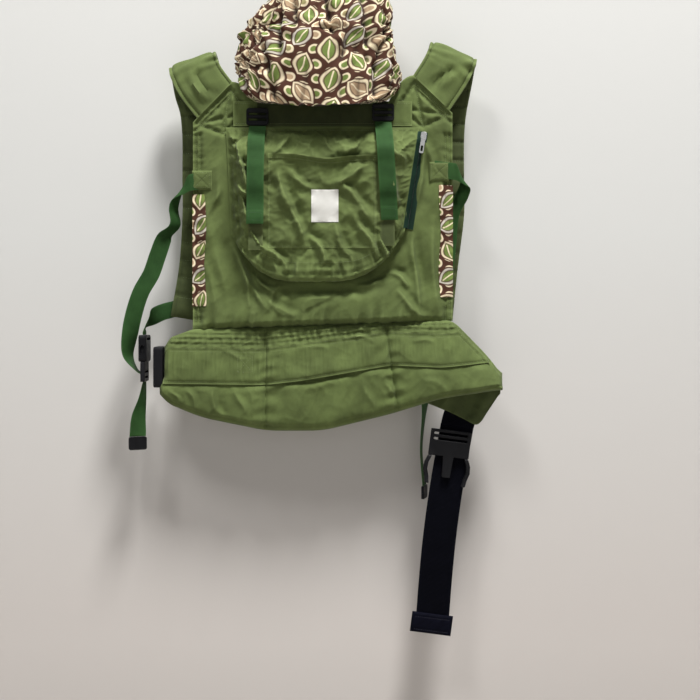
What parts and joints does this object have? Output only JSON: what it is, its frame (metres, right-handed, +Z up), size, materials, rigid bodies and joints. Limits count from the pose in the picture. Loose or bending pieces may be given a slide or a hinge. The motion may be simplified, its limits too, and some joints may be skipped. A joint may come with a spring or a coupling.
{
  "type": "soft baby carrier",
  "caption": "Structured canvas baby carrier with padded shoulder straps and waist belt, gathered printed hood, zipped front pocket, webbing and side-release buckles, hung by its straps.",
  "frame": {"origin": "midway between the folds of the two shoulder straps, where the carrier hangs on its support", "axes": "+Z up, -Y to the pocket side that faces the viewer, +X to the viewer's right"},
  "size_m": [0.5726, 0.0862, 0.9973],
  "materials": {
    "canvas": "washed olive green cotton twill with a soft sheen on the folds",
    "dark_canvas": "darker olive cotton lining, matte",
    "print_cloth": null,
    "foam": "off-white open-cell padding, matte",
    "green_webbing": "woven nylon webbing, bottle green, slight sheen",
    "navy_webbing": "dense black-navy nylon webbing",
    "black_plastic": "moulded black acetal, satin",
    "zip_metal": "nickel-plated die casting",
    "label_cloth": "bare woven off-white label"
  },
  "bodies": {
    "carrier": {"body_panel": "canvas", "pocket_pouch": "canvas", "slip_pocket": "canvas", "belt_centre_cover": "canvas", "belt_band": "canvas", "strap_cover_left": "canvas", "strap_cover_right": "canvas", "head_band": "dark_canvas", "strap_lining_left": "dark_canvas", "strap_lining_right": "dark_canvas", "belt_centre_lining": "dark_canvas", "chest_track_left": "dark_canvas", "chest_track_right": "dark_canvas", "body_lining": "print_cloth", "side_trim_left": "print_cloth", "side_trim_right": "print_cloth", "body_padding": "foam", "belt_centre_foam": "foam", "strap_foam_left": "foam", "strap_foam_right": "foam", "side_webbing_left": "green_webbing", "side_webbing_right": "green_webbing", "strap_end_webbing_left": "green_webbing", "strap_end_webbing_right": "green_webbing", "zip_tape": "green_webbing", "hood_buckle_left": "black_plastic", "hood_buckle_right": "black_plastic", "side_buckle_female_left": "black_plastic", "side_buckle_female_right": "black_plastic", "label_patch": "label_cloth"},
    "hood": {"hood": "print_cloth"},
    "hood_strap_left": {"hood_strap_left": "green_webbing"},
    "hood_strap_right": {"hood_strap_right": "green_webbing"},
    "zip_slider": {"zip_slider": "zip_metal"},
    "zip_pull": {"zip_pull": "zip_metal"},
    "chest_strap": {"chest_slider_left": "black_plastic", "chest_slider_right": "black_plastic", "chest_strap_left": "green_webbing", "chest_strap_right": "green_webbing", "chest_buckle_female": "black_plastic", "chest_buckle_male": "black_plastic"},
    "side_release_left": {"side_buckle_male_left": "black_plastic", "side_tail_left": "green_webbing", "side_tail_tab_left": "black_plastic"},
    "side_release_right": {"side_buckle_male_right": "black_plastic", "side_tail_right": "green_webbing", "side_tail_tab_right": "black_plastic"},
    "belt_left_end": {"belt_left_cover": "canvas", "belt_left_foam": "foam", "belt_left_lining": "dark_canvas", "waist_buckle_female": "black_plastic"},
    "belt_right_end": {"belt_right_cover": "canvas", "belt_right_foam": "foam", "belt_right_lining": "dark_canvas", "waist_strap_anchor": "navy_webbing"},
    "waist_strap": {"waist_strap": "navy_webbing", "waist_strap_keeper": "navy_webbing", "waist_buckle_male": "black_plastic"},
    "waist_prong_left": {"waist_prong_left": "black_plastic"},
    "waist_prong_right": {"waist_prong_right": "black_plastic"}
  },
  "joints": [
    {"name": "hood_fold", "type": "hinge", "parent": "carrier", "child": "hood", "pos_m": [0, -0.0013, -0.061], "axis": [1, 0, 0], "range_deg": [-40, 50]},
    {"name": "hood_strap_left_swing", "type": "hinge", "parent": "carrier", "child": "hood_strap_left", "pos_m": [-0.0975, -0.0046, -0.09939], "axis": [-1, 0, 0], "range_deg": [0, 60]},
    {"name": "hood_strap_right_swing", "type": "hinge", "parent": "carrier", "child": "hood_strap_right", "pos_m": [0.0905, -0.0046, -0.09281], "axis": [-1, 0, 0], "range_deg": [0, 60]},
    {"name": "zip_slide", "type": "slide", "parent": "carrier", "child": "zip_slider", "axis": [-0.1525, 0, -0.9883], "range_m": [0, 0.13]},
    {"name": "zip_pull_swing", "type": "hinge", "parent": "zip_slider", "child": "zip_pull", "pos_m": [0.15099, -0.0076, -0.11464], "axis": [-0.9883, 0, 0.1525], "range_deg": [0, 120]},
    {"name": "chest_strap_slide", "type": "slide", "parent": "carrier", "child": "chest_strap", "axis": [0, 0, 1], "range_m": [-0.04, 0.04]},
    {"name": "side_buckle_left_release", "type": "slide", "parent": "carrier", "child": "side_release_left", "axis": [0, 0, -1], "range_m": [0, 0.03], "deforming": ["side_webbing_left"]},
    {"name": "side_buckle_right_release", "type": "slide", "parent": "carrier", "child": "side_release_right", "axis": [0, 0, -1], "range_m": [0, 0.03], "deforming": ["side_webbing_right"]},
    {"name": "belt_left_fold", "type": "hinge", "parent": "carrier", "child": "belt_left_end", "pos_m": [-0.19515, 0.0103, -0.398], "axis": [0, 0, -1], "range_deg": [0, 80]},
    {"name": "belt_right_fold", "type": "hinge", "parent": "carrier", "child": "belt_right_end", "pos_m": [0.19515, 0.0103, -0.398], "axis": [0, 0, 1], "range_deg": [0, 80]},
    {"name": "waist_strap_swing", "type": "hinge", "parent": "belt_right_end", "child": "waist_strap", "pos_m": [0.203, 0.0115, -0.549], "axis": [-1, 0, 0], "range_deg": [0, 60]},
    {"name": "waist_prong_left_press", "type": "hinge", "parent": "waist_strap", "child": "waist_prong_left", "pos_m": [0.16153, 0.0068, -0.59255], "axis": [0, -1, 0], "range_deg": [0, 5], "stiffness_Nm_per_rad": 0.5},
    {"name": "waist_prong_right_press", "type": "hinge", "parent": "waist_strap", "child": "waist_prong_right", "pos_m": [0.21607, 0.0068, -0.59965], "axis": [0, 1, 0], "range_deg": [0, 5], "stiffness_Nm_per_rad": 0.5}
  ],
  "couplings": [
    {"joint": "waist_prong_right_press", "follows": "waist_prong_left_press", "ratio": 1}
  ]
}
